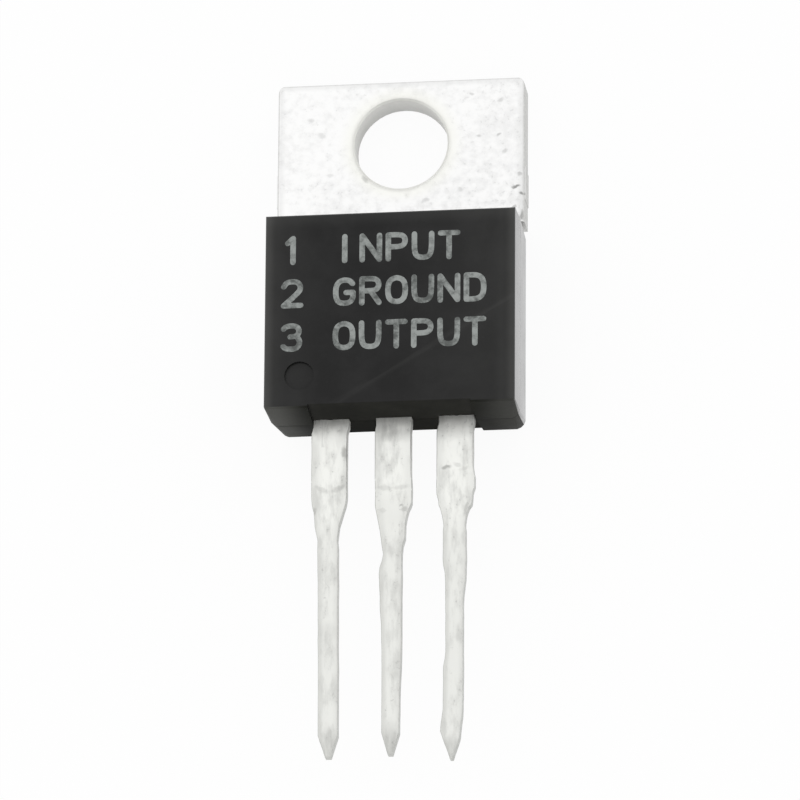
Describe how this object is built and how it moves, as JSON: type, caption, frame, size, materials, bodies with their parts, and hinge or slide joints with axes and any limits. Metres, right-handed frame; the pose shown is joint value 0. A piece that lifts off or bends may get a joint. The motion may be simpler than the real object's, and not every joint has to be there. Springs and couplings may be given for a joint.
{
  "type": "voltage regulator",
  "caption": "Linear voltage regulator in a flat tab package: moulded body on a metal tab with a mounting hole and a row of straight leads.",
  "frame": {"origin": "axis of the mounting hole at the back face of the metal tab", "axes": "+Z out of the moulded front face, +Y towards the free end of the tab, leads point to -Y, +X to the output lead"},
  "size_m": [0.0102, 0.0294, 0.0045],
  "materials": {
    "moulding": "black mould compound, satin, lightly scuffed",
    "tinned_copper": "dull tin plating with small dark specks",
    "silicon": "polished",
    "solder": "dull",
    "wire": "drawn wire"
  },
  "bodies": {
    "root": {"moulded_body": "moulding", "tab_with_centre_lead": "tinned_copper", "input_lead": "tinned_copper", "output_lead": "tinned_copper", "regulator_die": "silicon", "die_solder": "solder", "input_wire": "wire", "ground_wire": "wire", "output_wire": "wire"}
  },
  "joints": []
}
